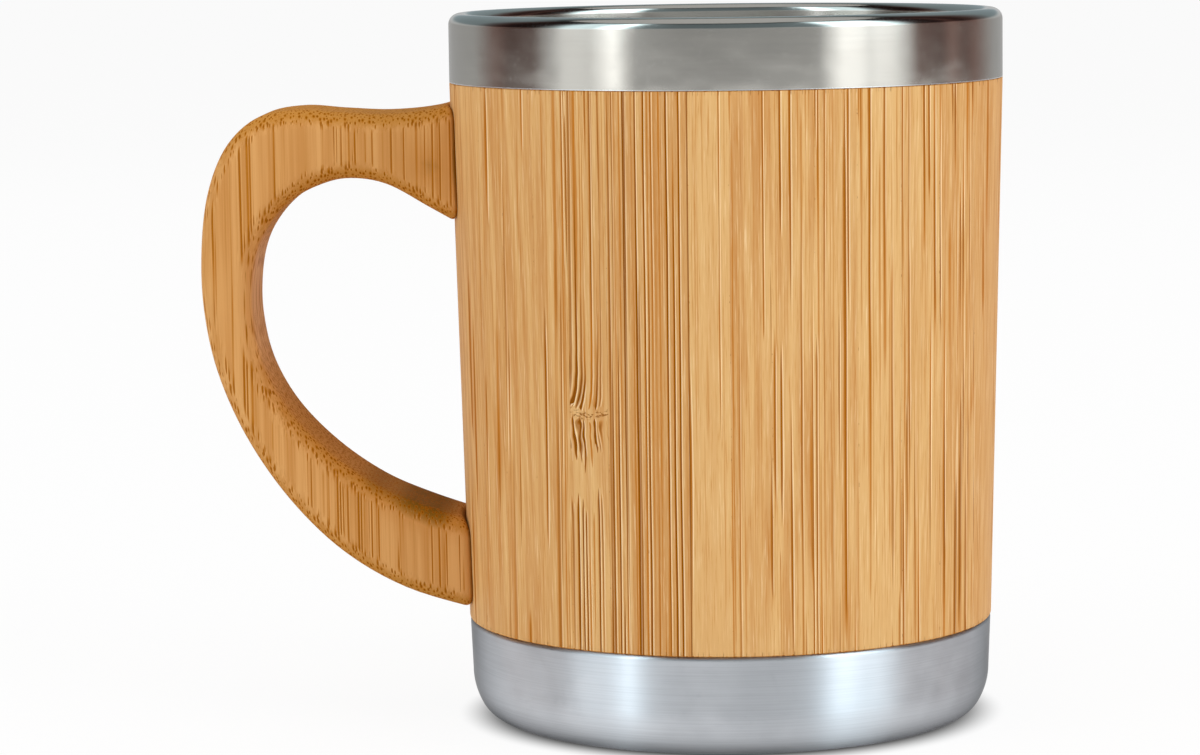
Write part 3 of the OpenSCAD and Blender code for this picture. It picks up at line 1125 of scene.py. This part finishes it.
@dataclass
class BaseCap:
    """The drawn cap under the sleeve, with its rounded lower edge and pressed ring."""

    shape: CupShape
    inset: float = 0.1 * MM
    edge_r: float = 0.7 * MM
    taper: float = 0.3 * MM
    upper_r: float = 10 * MM
    lower_r: float = 4.5 * MM
    split: float = 30.0
    bead_r: float = 25 * MM
    bead_w: float = 3.2 * MM
    bead_depth: float = 0.8 * MM
    bead_steps: int = 12
    corner_steps: int = 20

    def corner(self, inside: float) -> list[Point]:
        """Draws the lower corner and the pressed ring.

        Args:
            inside: how far inside the outer skin the line runs.

        Returns:
            The line's points, from the side to the axis.
        """
        s = self.shape
        side_r = s.low_r - self.inset - self.taper
        extra = self.upper_r - self.lower_r
        turn = math.radians(self.split)
        flat_r = side_r - self.upper_r + extra * math.cos(turn)
        top_z = self.lower_r + extra * math.sin(turn)
        ring = []
        for i in range(self.bead_steps + 1):
            share = i / self.bead_steps
            rise = self.bead_depth * (1 - math.cos(2 * math.pi * share)) / 2
            ring.append((self.bead_r + self.bead_w * (0.5 - share), inside + rise))
        steps = self.corner_steps
        return [
            *arc((side_r - self.upper_r, top_z), self.upper_r - inside, 0, -self.split, steps),
            *arc((flat_r, self.lower_r), self.lower_r - inside, -self.split, -90, steps)[1:],
            *ring,
            (0.0, inside),
        ]

    def build(self, brushed: bpy.types.Material) -> bpy.types.Object:
        """Builds the cap.

        Args:
            brushed: the cap's finish.

        Returns:
            The cap.
        """
        s = self.shape
        t = s.steel_t
        top_r = s.low_r - self.inset
        neck_in = s.wall_in_r(s.base_z + s.neck_h) + t + s.glue_gap
        profile = [
            (neck_in, s.base_z + s.neck_h),
            (neck_in + t, s.base_z + s.neck_h),
            (neck_in + t, s.base_z),
            *arc((top_r - self.edge_r, s.base_z - self.edge_r), self.edge_r, 90, 0),
            *self.corner(0.0),
            *reversed(self.corner(t)),
            *arc((top_r - self.edge_r, s.base_z - self.edge_r), self.edge_r - t, 0, 90),
            (neck_in, s.base_z - t),
        ]
        made = lathe("steel_base_cap", profile)
        made.data.materials.append(brushed)
        return place(made, "base_steel", ["base_cap"])


@dataclass
class Sleeve:
    """The turned sleeve, as its glued bamboo strips."""

    shape: CupShape
    tongue_h: float = 4.5 * MM
    bevel: float = 0.25 * MM
    end_lap: float = 0.4 * MM
    seam_shares: list[float] = field(
        default_factory=lambda: [
            -1, -0.9, -0.77, -0.63, -0.475, -0.32, -0.15, 0.01, 0.175, 0.345, 0.515, 0.69, 0.85, 1,
        ]
    )
    columns: int = 10
    levels: int = 10
    bevel_steps: int = 4
    back_number: int = 40
    end_number: int = 70
    knuckles: dict[str, float] = field(
        default_factory=lambda: {
            "front_4": 51.0, "back_3": 66.0, "back_9": 31.0, "back_12": 84.0,
        }
    )
    dark_seams: dict[str, float] = field(
        default_factory=lambda: {
            "front_4": 0.97, "front_6": 1.0, "front_11": 0.97, "back_2": 0.97, "back_7": 1.0,
        }
    )
    tones: dict[str, float] = field(
        default_factory=lambda: {
            "left_end": -0.1, "front_1": -0.15, "front_2": -0.2, "front_3": -0.15, "front_4": 0.2,
            "front_5": -0.35, "front_6": -0.7, "front_7": 0.7, "front_8": -0.1, "front_9": 0.1,
            "front_10": 0.3, "front_11": 0.9, "front_12": 0.4, "front_13": -0.4, "right_end": -0.6,
        }
    )
    densities: dict[str, float] = field(
        default_factory=lambda: {
            "left_end": -0.5, "front_1": -0.35, "front_2": -0.2, "front_3": -0.1, "front_4": 0.4,
            "front_5": 0.65, "front_6": 0.85, "front_7": -0.45, "front_8": -0.15, "front_9": -0.1,
            "front_10": -0.15, "front_11": -0.2, "front_12": -0.1, "front_13": 0.2, "right_end": -0.5,
        }
    )

    def profile(self) -> list[Point]:
        """Draws the turned blank's outline.

        Returns:
            The closed outline, anticlockwise from its lower inner corner.
        """
        s = self.shape
        b = self.bevel
        tongue_z = s.band_z + self.tongue_h
        tongue_out = s.top_r - s.steel_t - s.glue_gap
        tongue_in = s.mouth_r + s.steel_t + s.glue_gap
        rebate_z = s.base_z + s.neck_h + s.glue_gap
        rebate_r = s.wall_in_r(s.base_z + s.neck_h) + 2 * s.steel_t + 2 * s.glue_gap
        side = [
            s.base_z + b + (s.band_z - s.base_z - 2 * b) * i / self.levels
            for i in range(self.levels + 1)
        ]
        return [
            (rebate_r, s.base_z),
            *arc((s.low_r - b, s.base_z + b), b, -90, 0, self.bevel_steps)[:-1],
            *[(s.sleeve_r(z), z) for z in side],
            *arc((s.top_r - b, s.band_z - b), b, 0, 90, self.bevel_steps)[1:],
            (tongue_out, s.band_z),
            (tongue_out, tongue_z),
            (tongue_in, tongue_z),
            (tongue_in, s.band_z),
            (s.sleeve_r(s.band_z) - s.sleeve_t, s.band_z),
            (s.sleeve_r(rebate_z) - s.sleeve_t, rebate_z),
            (rebate_r, rebate_z),
        ]

    @property
    def end_face_x(self) -> float:
        """How far each end strip's glued face lies from the axis."""
        s = self.shape
        rebate_z = s.base_z + s.neck_h + s.glue_gap
        return s.sleeve_r(rebate_z) - s.sleeve_t - self.end_lap

    @staticmethod
    def chance(number: float) -> float:
        """Draws a number by chance, the same one each run.

        Args:
            number: the strip's own number.

        Returns:
            A number from 0 to 1.
        """
        turn, stretch = 12.9898, 43758.5453
        wild = math.sin(number * turn) * stretch
        return wild - math.floor(wild)

    def strip(self, loops: list[list[Vector]], name: str, node: str, number: int) -> bpy.types.Object:
        """Builds one strip from its outlines, side by side.

        Args:
            loops: the outline at each column across the strip.
            name: the strip's name, without the sleeve's.
            node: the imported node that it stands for.
            number: a number that sets its own grain.

        Returns:
            The strip.
        """
        shape = bmesh.new()
        rows = [[shape.verts.new(p) for p in loop] for loop in loops]
        skin(shape, rows)
        shape.faces.new(rows[0])
        shape.faces.new(rows[-1])
        made = finish_mesh("bamboo_strip_" + name, shape)
        xs = [v.co.x for v in made.data.vertices]
        low, high = min(xs), max(xs)
        flip = number % 2 == 0
        across = [(x - low) / (high - low) for x in xs]
        seam = self.dark_seams.get(name, 0.0)
        set_grain(
            made,
            layer_across=[1 - a if flip else a for a in across],
            layer_seam=[seam * a for a in across],
            layer_tone=self.tones.get(name, WIDEST_TONE * (2 * self.chance(number) - 1)),
            layer_density=self.densities.get(name, self.chance(number + 0.5) - 0.5),
            layer_seed=SEED_STEP * number,
            knuckle_mm=self.knuckles.get(name, NO_KNUCKLE_MM),
        )
        return place(made, "sleeve_bamboo", [node])

    def middle_strip(self, layer: int, side: Side) -> bpy.types.Object:
        """Builds the strip of one layer on one side.

        Args:
            layer: the layer's place, from 0 at the handle.
            side: the half of the sleeve.

        Returns:
            The strip.
        """
        x0, x1 = (self.end_face_x * self.seam_shares[layer + k] for k in (0, 1))
        xs = [x0 + (x1 - x0) * i / self.columns for i in range(self.columns + 1)]
        profile = self.profile()
        loops = [
            [Vector((x, side.value * math.sqrt(r * r - x * x), z)) for r, z in profile] for x in xs
        ]
        word = side.name.lower()
        number = layer + 1 + (self.back_number if side is Side.BACK else 0)
        return self.strip(loops, f"{word}_{layer + 1}", f"sleeve_strip_{word}_{layer + 1}", number)

    def end_strip(self, end: End) -> bpy.types.Object:
        """Builds the strip at one end of the block, with its flat glued faces.

        Args:
            end: the end.

        Returns:
            The strip.
        """
        profile = self.profile()
        face = self.end_face_x
        loops = []
        steps = 3 * self.columns
        for i in range(steps + 1):
            turn = 2 * i / steps - 1
            loop = []
            for r, z in profile:
                outer = self.outer_r(z)
                angle = turn * math.acos(face / outer)
                far = min(max(r, face / math.cos(angle)), outer)
                loop.append(Vector((end.value * far * math.cos(angle), far * math.sin(angle), z)))
            loops.append(loop)
        word = end.name.lower()
        number = self.end_number + int(end.value)
        return self.strip(loops, f"{word}_end", f"sleeve_strip_{word}_end", number)

    def outer_r(self, z: float) -> float:
        """Finds the blank's outermost radius, which is less on the tongue.

        Args:
            z: the height.

        Returns:
            The radius there.
        """
        s = self.shape
        if z > s.band_z + TINY:
            return s.top_r - s.steel_t - s.glue_gap
        return s.sleeve_r(z)

    def build(self, finish: bpy.types.Material) -> list[bpy.types.Object]:
        """Builds every strip.

        Args:
            finish: the strips' bamboo.

        Returns:
            The strips.
        """
        made = [self.end_strip(end) for end in End]
        layers = range(len(self.seam_shares) - 1)
        made += [self.middle_strip(layer, side) for side in Side for layer in layers]
        for strip in made:
            strip.data.materials.append(finish)
        return made


@dataclass
class Handle:
    """The handle, sawn from one board and rounded over."""

    shape: CupShape
    reach: float = 38.2 * MM
    height: float = 78 * MM
    low_z: float = 17 * MM
    thick: float = 20 * MM
    edge_r: float = 3.0 * MM
    edge_limit: float = 0.42
    foot_r: float = 1.1 * MM
    foot_gap: float = 0.03 * MM
    corner_steps: int = 7
    face_steps: int = 5
    stains: list[tuple[float, float, float, float]] = field(
        default_factory=lambda: [
            (-45 * MM, 86 * MM, 3.5 * MM, -1.3),
            (-59 * MM, 41 * MM, 3.5 * MM, -1.0),
            (-54 * MM, 37.5 * MM, 3.5 * MM, -1.5),
            (-49 * MM, 34.5 * MM, 3.2 * MM, -1.7),
            (-44.5 * MM, 32.5 * MM, 3.2 * MM, -1.8),
            (-76 * MM, 66 * MM, 8 * MM, 0.5),
        ]
    )
    # painted shade: darkens the handle in a thin band where its feet meet the sleeve
    crevice_shade: float = -1.9
    crevice_shade_w: float = 0.6 * MM
    board_across: float = 0.3
    board_density: float = 0.1
    board_seed: float = 91.7
    rings_per_guide: int = 7
    first_plain: float = 1.6
    plain_from_end: float = 1.7
    nudge: float = 0.01
    foot_steps: int = 5
    easing_steps: int = 8
    halvings: int = 40
    outer_shares: list[Point] = field(
        default_factory=lambda: [
            (-0.118, 1.021), (0.051, 0.996), (0.245, 0.987), (0.43, 0.991), (0.604, 0.997),
            (0.765, 0.981), (0.891, 0.925), (0.968, 0.835), (0.999, 0.722), (0.994, 0.603),
            (0.944, 0.48), (0.832, 0.35), (0.661, 0.225), (0.448, 0.121), (0.193, 0.047),
            (-0.118, 0),
        ]
    )
    inner_shares: list[Point] = field(
        default_factory=lambda: [
            (-0.118, 0.748), (0.072, 0.801), (0.249, 0.849), (0.406, 0.861), (0.535, 0.845),
            (0.634, 0.817), (0.711, 0.778), (0.766, 0.729), (0.794, 0.664), (0.795, 0.581),
            (0.753, 0.488), (0.652, 0.399), (0.493, 0.318), (0.304, 0.253), (0.11, 0.211),
            (-0.118, 0.173),
        ]
    )

    def guide(self, shares: list[Point], place_on: float) -> Vector:
        """Returns the place of a guide curve in the upright plane through the handle."""
        share = catmull(shares, place_on)
        return Vector((-self.shape.top_r - self.reach * share[0], self.low_z + self.height * share[1]))

    def ring(self, place_on: float, inset: float = 0.0) -> list[Vector]:
        """Points around one cross-section.

        Args:
            place_on: where the section is along the guides.
            inset: how far the points are moved inwards.

        Returns:
            The points of a rounded rectangle.
        """
        inner, outer = self.guide(self.inner_shares, place_on), self.guide(self.outer_shares, place_on)
        width = (outer - inner).length
        across = (outer - inner) / width
        r = min(self.edge_r, width * self.edge_limit)
        half = self.thick / 2 - r
        centres = [(width - r, half), (r, half), (r, -half), (width - r, -half)]
        points = []
        for corner, (u, v) in enumerate(centres):
            for k in range(self.corner_steps + 1):
                a = math.radians(90 * (corner + k / self.corner_steps))
                points.append((u + (r - inset) * math.cos(a), v + (r - inset) * math.sin(a)))
            next_u, next_v = centres[(corner + 1) % 4]
            a = math.radians(90 * (corner + 1))
            du, dv = (r - inset) * math.cos(a), (r - inset) * math.sin(a)
            for k in range(1, self.face_steps):
                share = k / self.face_steps
                points.append((u + (next_u - u) * share + du, v + (next_v - v) * share + dv))
        return [Vector((*(inner + across * u), 0.0)).xzy + Vector((0.0, v, 0.0)) for u, v in points]

    def tone_and_shade_at(self, point: Vector) -> float:
        """Sums up the board's stains and the painted shade in the crevice around its feet.

        Args:
            point: a place on the handle.

        Returns:
            The tone there, where less than 0 is darker.
        """
        stained = sum(
            tone * math.exp(-((point.x - x) ** 2 + (point.z - z) ** 2) / radius**2)
            for x, z, radius, tone in self.stains
        )
        return stained + self.crevice_shade * math.exp(-((self.outside(point) / self.crevice_shade_w) ** 2))

    def outside(self, point: Vector) -> float:
        """Returns how far a point lies outside the sleeve, less the foot's gap."""
        return math.hypot(point.x, point.y) - self.shape.sleeve_r(point.z) - self.foot_gap

    def landing(self, index: int, start: float, end: float) -> float:
        """Finds where one line along the handle meets the sleeve.

        Args:
            index: which point of the cross-section the line joins.
            start: a place along the guides inside the sleeve.
            end: a place outside it.

        Returns:
            The place along the guides.
        """
        for _ in range(self.halvings):
            middle = (start + end) / 2
            if self.outside(self.ring(middle)[index]) > 0:
                end = middle
            else:
                start = middle
        return (start + end) / 2

    def foot_rings(self, start: float, end: float) -> list[list[Vector]]:
        """Cross-sections at one foot, from the sleeve's surface outwards, with a rounded edge.

        Args:
            start: a place along the guides inside the sleeve.
            end: the place of the first plain cross-section.

        Returns:
            The sections, the first one on the sleeve.
        """
        count = len(self.ring(start))
        landings = [self.landing(i, start, end) for i in range(count)]
        way = 1 if end > start else -1
        speeds = [
            (self.ring(p + way * self.nudge)[i] - self.ring(p)[i]).length / self.nudge
            for i, p in enumerate(landings)
        ]
        rings = []
        turns = [math.radians(90 * (1 - k / self.foot_steps)) for k in range(self.foot_steps + 1)]
        for turn in turns:
            inset = self.foot_r * (1 - math.cos(turn))
            along = self.foot_r * (1 - math.sin(turn))
            rings.append(
                [
                    self.ring(p + way * along / speed, inset)[i]
                    for i, (p, speed) in enumerate(zip(landings, speeds))
                ]
            )
        for k in range(1, self.easing_steps):
            share = k / self.easing_steps
            rings.append(
                [
                    self.ring((p + way * self.foot_r / speed) * (1 - share) + end * share)[i]
                    for i, (p, speed) in enumerate(zip(landings, speeds))
                ]
            )
        return rings

    def build(self, finish: bpy.types.Material) -> bpy.types.Object:
        """Builds the handle.

        Args:
            finish: the board's bamboo.

        Returns:
            The handle.
        """
        last = len(self.outer_shares) - 1
        first_plain, last_plain = self.first_plain, last - self.plain_from_end
        steps = int((last_plain - first_plain) * self.rings_per_guide)
        rings = self.foot_rings(0.0, first_plain)
        rings += [
            self.ring(first_plain + (last_plain - first_plain) * k / steps) for k in range(steps + 1)
        ]
        rings += reversed(self.foot_rings(float(last), last_plain))
        shape = bmesh.new()
        left = CAD_BOX[0].x
        rows = [[shape.verts.new((max(p.x, left), p.y, p.z)) for p in ring] for ring in rings]
        skin(shape, rows)
        for row in (rows[0], rows[-1]):
            middle = sum((v.co for v in row), Vector()) / len(row)
            radius = self.shape.sleeve_r(middle.z) + self.foot_gap
            hub = shape.verts.new((-radius, 0.0, middle.z))
            for i in range(len(row)):
                shape.faces.new((row[i], row[(i + 1) % len(row)], hub))
        made = finish_mesh("bamboo_handle", shape)
        set_grain(
            made,
            layer_across=self.board_across,
            layer_tone=[self.tone_and_shade_at(v.co) for v in made.data.vertices],
            layer_density=self.board_density,
            layer_seed=self.board_seed,
            knuckle_mm=NO_KNUCKLE_MM,
        )
        made.data.materials.append(finish)
        return place(made, "handle_bamboo", ["handle"])


@dataclass
class Screws:
    """The two wood screws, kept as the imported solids."""

    node: str = "handle_screws"

    def dress(self, finish: bpy.types.Material) -> bpy.types.Object:
        """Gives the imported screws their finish.

        Args:
            finish: the screws' steel.

        Returns:
            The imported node.
        """
        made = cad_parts[self.node]
        made.data.materials.clear()
        made.data.materials.append(finish)
        LOG.info("%s: kept as packed", self.node)
        return made


# Stage


@dataclass
class Camera:
    """The photograph's viewpoint."""

    place: tuple[float, float, float] = (0.0, -0.6292, 0.1253)
    lens: float = 122.3
    sensor: float = 36.0
    yaw: float = -0.0316
    pitch: float = 0.1155
    roll: float = 0.0125
    near: float = 0.01
    far: float = 50.0

    def build(self) -> bpy.types.Object:
        """Sets up the scene's camera, turned as in the photograph.

        Returns:
            The camera.
        """
        forward = Vector((
            math.sin(self.yaw) * math.cos(self.pitch),
            math.cos(self.yaw) * math.cos(self.pitch),
            -math.sin(self.pitch),
        ))
        level = forward.cross(Vector((0, 0, 1))).normalized()
        down = forward.cross(level)
        right = level * math.cos(self.roll) + down * math.sin(self.roll)
        up = level * math.sin(self.roll) - down * math.cos(self.roll)
        data = bpy.data.cameras.new("camera")
        data.lens = self.lens
        data.sensor_width = self.sensor
        data.clip_start = self.near
        data.clip_end = self.far
        made = bpy.data.objects.new("camera", data)
        turn = Matrix((right, up, -forward)).transposed().to_4x4()
        made.matrix_world = Matrix.Translation(Vector(self.place)) @ turn
        bpy.context.scene.collection.objects.link(made)
        bpy.context.scene.camera = made
        return made


@dataclass(frozen=True)
class Softbox:
    """A soft lamp that stands around the cup."""

    name: str
    azimuth: float
    distance: float
    size: tuple[float, float]
    height: float
    radiance: float
    colour: Colour = (1.0, 1.0, 1.0)
    aim_z: float = 0.06
    aim_share: float = 0.35

    def build(self) -> bpy.types.Object:
        """Sets up the lamp, facing the cup.

        Returns:
            The lamp.
        """
        data = bpy.data.lights.new(self.name, "AREA")
        data.shape = "RECTANGLE"
        data.size, data.size_y = self.size
        data.energy = self.radiance * math.pi * self.size[0] * self.size[1]
        data.color = self.colour
        made = bpy.data.objects.new(self.name, data)
        a = math.radians(self.azimuth)
        made.location = (math.sin(a) * self.distance, -math.cos(a) * self.distance, self.height)
        aim_z = min(self.height, self.aim_z + self.aim_share * self.height)
        aim = Vector((0.0, 0.0, aim_z)) - made.location
        made.rotation_euler = aim.to_track_quat("-Z", "Y").to_euler()
        made.visible_camera = False
        made.visible_glossy = False
        bpy.context.scene.collection.objects.link(made)
        return made


def empty_material(name: str) -> tuple[bpy.types.Material, Wiring]:
    """Makes a material without nodes.

    Args:
        name: the material's name.

    Returns:
        The material and its wiring.
    """
    material = bpy.data.materials.new(name)
    material.use_nodes = True
    material.node_tree.nodes.clear()
    return material, Wiring(material.node_tree)


@dataclass
class Stage:
    """Pale floor, grey reflector wall, soft lamps and white surroundings."""

    floor_size: float = 40.0
    floor_white: float = 0.9
    background_share: float = 0.91
    # painted shadow: the floor's glow darkens in a ring around the cup's foot, wider and never fully
    # dark for glossy rays
    painted_shadow_r: float = 34 * MM
    painted_shadow_w: float = 9 * MM
    reflected_shadow_w: float = 12 * MM
    reflected_shadow_least: float = 0.22
    ceiling_grey: float = 0.55
    wall_glow: float = 1.9
    pane_glow: float = 6.0
    pane_tint: Colour = (0.74, 0.92, 1.0)
    band_view_h: float = 0.13
    pane_view_h: float = 0.39
    wall_r: float = 1.5
    wall_h: float = 2.4
    wall_steps: int = 96
    fade_share: float = 0.6
    ambient: float = 0.55
    lamps: list[Softbox] = field(
        default_factory=lambda: [
            Softbox("left_softbox", -56.0, 1.15, (0.6, 1.2), 0.6, 2.0),
            Softbox("right_softbox", 61.0, 1.15, (0.7, 1.2), 0.6, 2.5),
            Softbox("left_fill", -140.0, 1.3, (0.6, 1.0), 0.6, 1.0),
            Softbox("right_fill", 140.0, 1.3, (0.6, 1.0), 0.6, 1.0),
            Softbox("top_softbox", 0.0, 0.35, (1.2, 1.2), 1.6, 1.2),
        ]
    )

    @staticmethod
    def background_rays(w: Wiring) -> bpy.types.NodeSocket:
        """Finds the rays that see the background, straight or in metal and glass.

        Args:
            w: the wiring of the background's material.

        Returns:
            1 for such rays, and 0 for others.
        """
        rays = w.add("LightPath")
        seen = w.math("MAXIMUM", rays.outputs["Is Camera Ray"], rays.outputs["Is Glossy Ray"])
        return w.math("MAXIMUM", seen, rays.outputs["Is Transmission Ray"])

    def floor(self) -> bpy.types.Object:
        """Builds the floor, white as the background, which keeps the cup's shadow and adds a painted
        shadow around the cup's foot.

        Returns:
            The floor.
        """
        shape = bmesh.new()
        bmesh.ops.create_grid(shape, x_segments=1, y_segments=1, size=self.floor_size / 2)
        made = finish_mesh("floor", shape)
        material, w = empty_material("pale_floor")
        white = (self.floor_white,) * 3
        lit = w.add("BsdfDiffuse", None, Color=white)
        on_floor = w.add("TexCoord").outputs["Object"]
        from_axis = w.add("VectorMath", {"operation": "LENGTH"}, i0=on_floor)
        glossy = w.add("LightPath").outputs["Is Glossy Ray"]
        # painted shadow ring around the foot; glossy rays see it wider and lifted, as a painted dark
        # reflection low on the base
        width = w.spread(glossy, self.painted_shadow_w, self.reflected_shadow_w)
        outside = w.math("SUBTRACT", from_axis.outputs["Value"], self.painted_shadow_r)
        outside_painted_shadow = w.smooth(w.math("DIVIDE", outside, width), 0.0, 1.0)
        light = w.math("MAXIMUM", outside_painted_shadow, w.math("MULTIPLY", glossy, self.reflected_shadow_least))
        glow = w.add("Emission", None, Color=w.vector(light, light, light), Strength=1.0)
        share = w.math("MULTIPLY", self.background_rays(w), self.background_share)
        front = w.add("MixShader", None, Fac=share, i1=lit.outputs[0], i2=glow.outputs[0])
        clear = w.add("BsdfTransparent")
        back = w.add("NewGeometry").outputs["Backfacing"]
        both = w.add("MixShader", None, Fac=back, i1=front.outputs[0], i2=clear.outputs[0])
        w.add("OutputMaterial", None, Surface=both.outputs[0])
        made.data.materials.append(material)
        return made

    def wall_material(self) -> bpy.types.Material:
        """Makes the wall's glow, grey by direction and brighter and cooler high up.

        Returns:
            The material.
        """
        material, w = empty_material("grey_wall")
        x, y, z = w.split(w.add("TexCoord").outputs["Object"])
        turn = w.math("ARCTAN2", x, w.math("MULTIPLY", y, -1.0))
        share = w.add("MapRange", None, Value=turn, i1=-math.pi, i2=math.pi, i3=0.0, i4=1.0)
        ramp = w.add("ValToRGB", None, Fac=share.outputs[0])
        self.shade(ramp.color_ramp)
        grey = ramp.outputs[0]
        high = w.smooth(z, self.band_view_h, self.pane_view_h)
        crisp = w.mix(1.0, w.mix(1.0, grey, grey, "MULTIPLY"), self.pane_tint, "MULTIPLY")
        falling = w.smooth(z, self.wall_h, self.fade_share * self.wall_h)
        level = w.math("MULTIPLY", falling, w.spread(high, self.wall_glow, self.pane_glow))
        glow = w.add("Emission", None, Color=w.mix(high, grey, crisp), Strength=level)
        w.add("OutputMaterial", None, Surface=glow.outputs[0])
        return material

    def ceiling_material(self) -> bpy.types.Material:
        """Makes the ceiling's plain glow.

        Returns:
            The material.
        """
        material, w = empty_material("grey_ceiling")
        glow = w.add("Emission", None, Color=(self.ceiling_grey,) * 3, Strength=1.0)
        w.add("OutputMaterial", None, Surface=glow.outputs[0])
        return material

    def wall(self) -> bpy.types.Object:
        """Builds the grey wall and ceiling that only metal and gloss reflect.

        Returns:
            The wall, with its ceiling.
        """
        shape = bmesh.new()
        turns = [2 * math.pi * i / self.wall_steps for i in range(self.wall_steps)]
        rows = [
            [shape.verts.new((self.wall_r * math.cos(a), self.wall_r * math.sin(a), z)) for a in turns]
            for z in (0.0, self.wall_h)
        ]
        skin(shape, rows)
        shape.faces.new(rows[1])
        made = finish_mesh("reflector_room", shape)
        made.data.materials.append(self.wall_material())
        made.data.materials.append(self.ceiling_material())
        for face in made.data.polygons:
            face.material_index = 1 if abs(face.normal.z) > 0.5 else 0
        made.visible_camera = False
        made.visible_diffuse = False
        made.visible_shadow = False
        made.visible_transmission = False
        return made

    @staticmethod
    def shade(ramp: bpy.types.ColorRamp) -> None:
        """Sets the wall's greys from behind the cup, past the left, the camera and the right.

        Args:
            ramp: the colour ramp around the wall.
        """
        greys = [
            (-180, 0.28), (-125, 0.22), (-108, 0.1), (-98, 0.05), (-84, 0.06), (-74, 0.3), (-69, 0.5),
            (-62, 0.5), (-56, 0.45), (-50, 0.68), (-45, 0.95), (-41, 0.5), (-36, 0.22), (-20, 0.18),
            (20, 0.19), (38, 0.22), (44, 0.6), (48, 0.85), (56, 0.8), (60, 0.6), (64, 0.72), (72, 0.66),
            (78, 0.4), (84, 0.09), (98, 0.06), (106, 0.14), (114, 0.07), (124, 0.12), (145, 0.24),
            (180, 0.28),
        ]
        plain, warm_dark, plain_from, warm_beyond = (1.0, 1.0, 1.0), (1.0, 0.62, 0.55), 0.15, 60
        while len(ramp.elements) > 1:
            ramp.elements.remove(ramp.elements[-1])
        for k, (azimuth, grey) in enumerate(greys):
            position = (azimuth + 180) / 360
            element = ramp.elements[0] if k == 0 else ramp.elements.new(position)
            element.position = position
            tint = warm_dark if grey < plain_from and abs(azimuth) > warm_beyond else plain
            element.color = (*(grey * t for t in tint), 1.0)

    def surroundings(self) -> None:
        """Sets white surroundings, which light the cup at a lower level."""
        world = bpy.data.worlds.new("surroundings")
        world.use_nodes = True
        bpy.context.scene.world = world
        w = Wiring(world.node_tree)
        w.tree.nodes.clear()
        soft = w.add("Background", None, Color=(1.0, 1.0, 1.0), Strength=self.ambient)
        white = w.add("Background", None, Color=(1.0, 1.0, 1.0), Strength=1.0)
        seen = self.background_rays(w)
        both = w.add("MixShader", None, Fac=seen, i1=soft.outputs[0], i2=white.outputs[0])
        w.add("OutputWorld", None, Surface=both.outputs[0])

    def build(self) -> None:
        """Builds the floor, the wall, the lamps and the surroundings."""
        self.floor()
        self.wall()
        for lamp in self.lamps:
            lamp.build()
        self.surroundings()
        bpy.context.scene.view_settings.view_transform = "Standard"
        LOG.info("stage: floor, wall, %d lamps", len(self.lamps))


def main() -> None:
    """Builds the cup and its stage."""
    logging.basicConfig(level=logging.INFO)
    Camera().build()
    groups = Groups(build_bundle_group(), build_knuckle_group(), build_handling_group())
    shape = CupShape()
    InnerCup(shape).build(POLISHED.make(groups), SATIN.make(groups))
    BaseCap(shape).build(BRUSHED.make(groups))
    Sleeve(shape).build(SLEEVE_BAMBOO.make(groups))
    Handle(shape).build(HANDLE_BAMBOO.make(groups))
    Screws().dress(SCREW_STEEL.make(groups))
    Stage().build()


if __name__ == "__main__":
    main()
